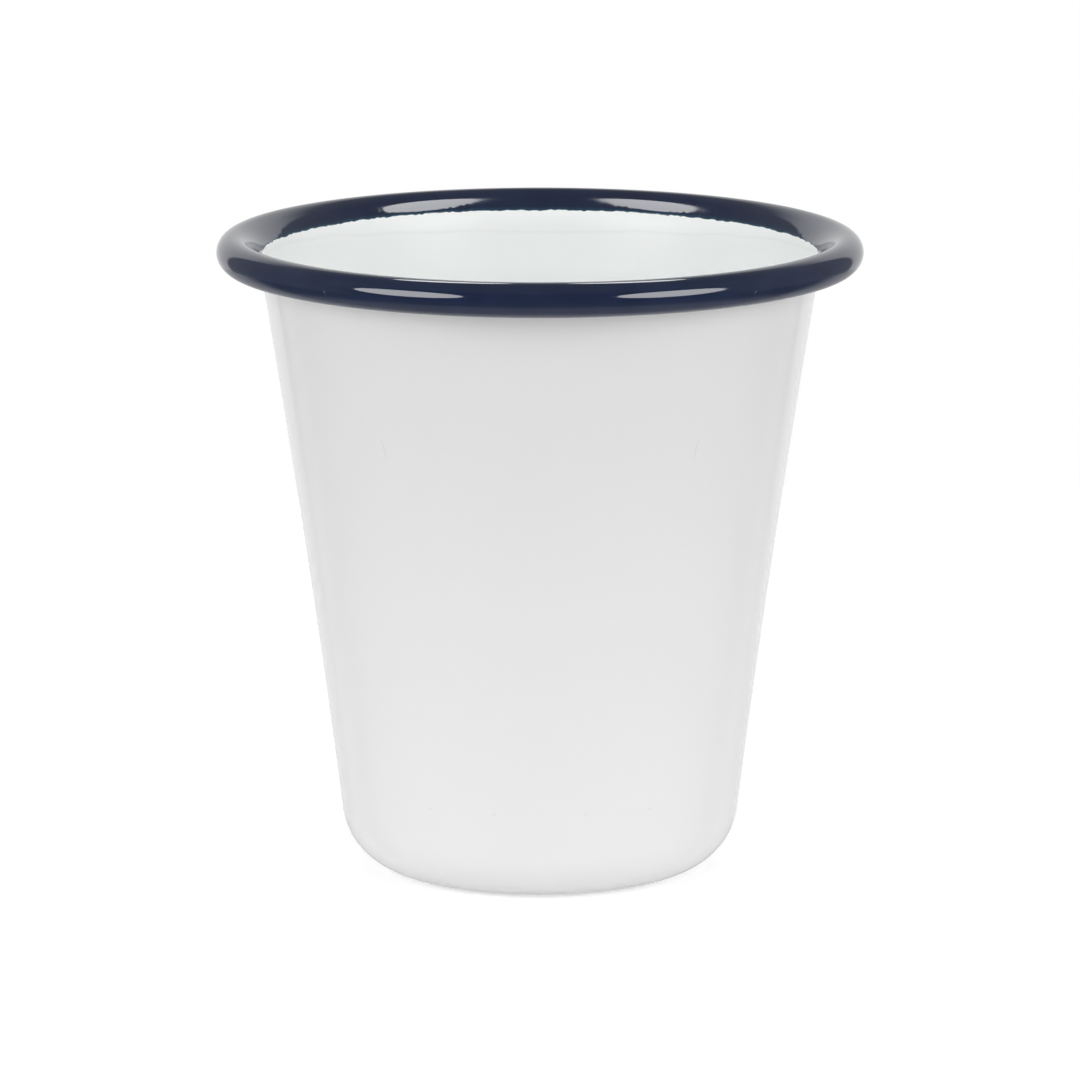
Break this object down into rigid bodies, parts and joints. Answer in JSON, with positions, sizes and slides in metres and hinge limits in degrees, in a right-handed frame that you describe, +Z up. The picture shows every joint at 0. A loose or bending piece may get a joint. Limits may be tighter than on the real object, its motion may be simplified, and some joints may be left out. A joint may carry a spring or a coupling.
{
  "type": "enamelled steel tumbler",
  "caption": "White enamelled steel tumbler: a tapered, slightly hollow wall on a rounded base, with a navy rolled rim, for holding a drink or small things.",
  "frame": {"origin": "centre of the foot's resting plane, on the axis of the tumbler", "axes": "+Z up along the tumbler's axis, out of its mouth; +X and +Y are any two level directions, because the shape is round"},
  "size_m": [0.093, 0.093, 0.0928],
  "materials": {
    "steel": "pressed and pickled low-carbon sheet, fully covered by enamel",
    "ground_enamel": "dark blue-black fired ground coat, seen only at specks and at the colour line",
    "white_enamel_inside": "glossy fired white enamel",
    "white_enamel_outside": "glossy fired white enamel with a faint orange peel and a few dark specks",
    "navy_enamel": "glossy fired navy edging enamel"
  },
  "bodies": {
    "root": {"steel_shell": "steel", "ground_coat_inside": "ground_enamel", "ground_coat_outside": "ground_enamel", "white_coat_inside": "white_enamel_inside", "white_coat_outside": "white_enamel_outside", "navy_rim_band": "navy_enamel"}
  },
  "joints": []
}
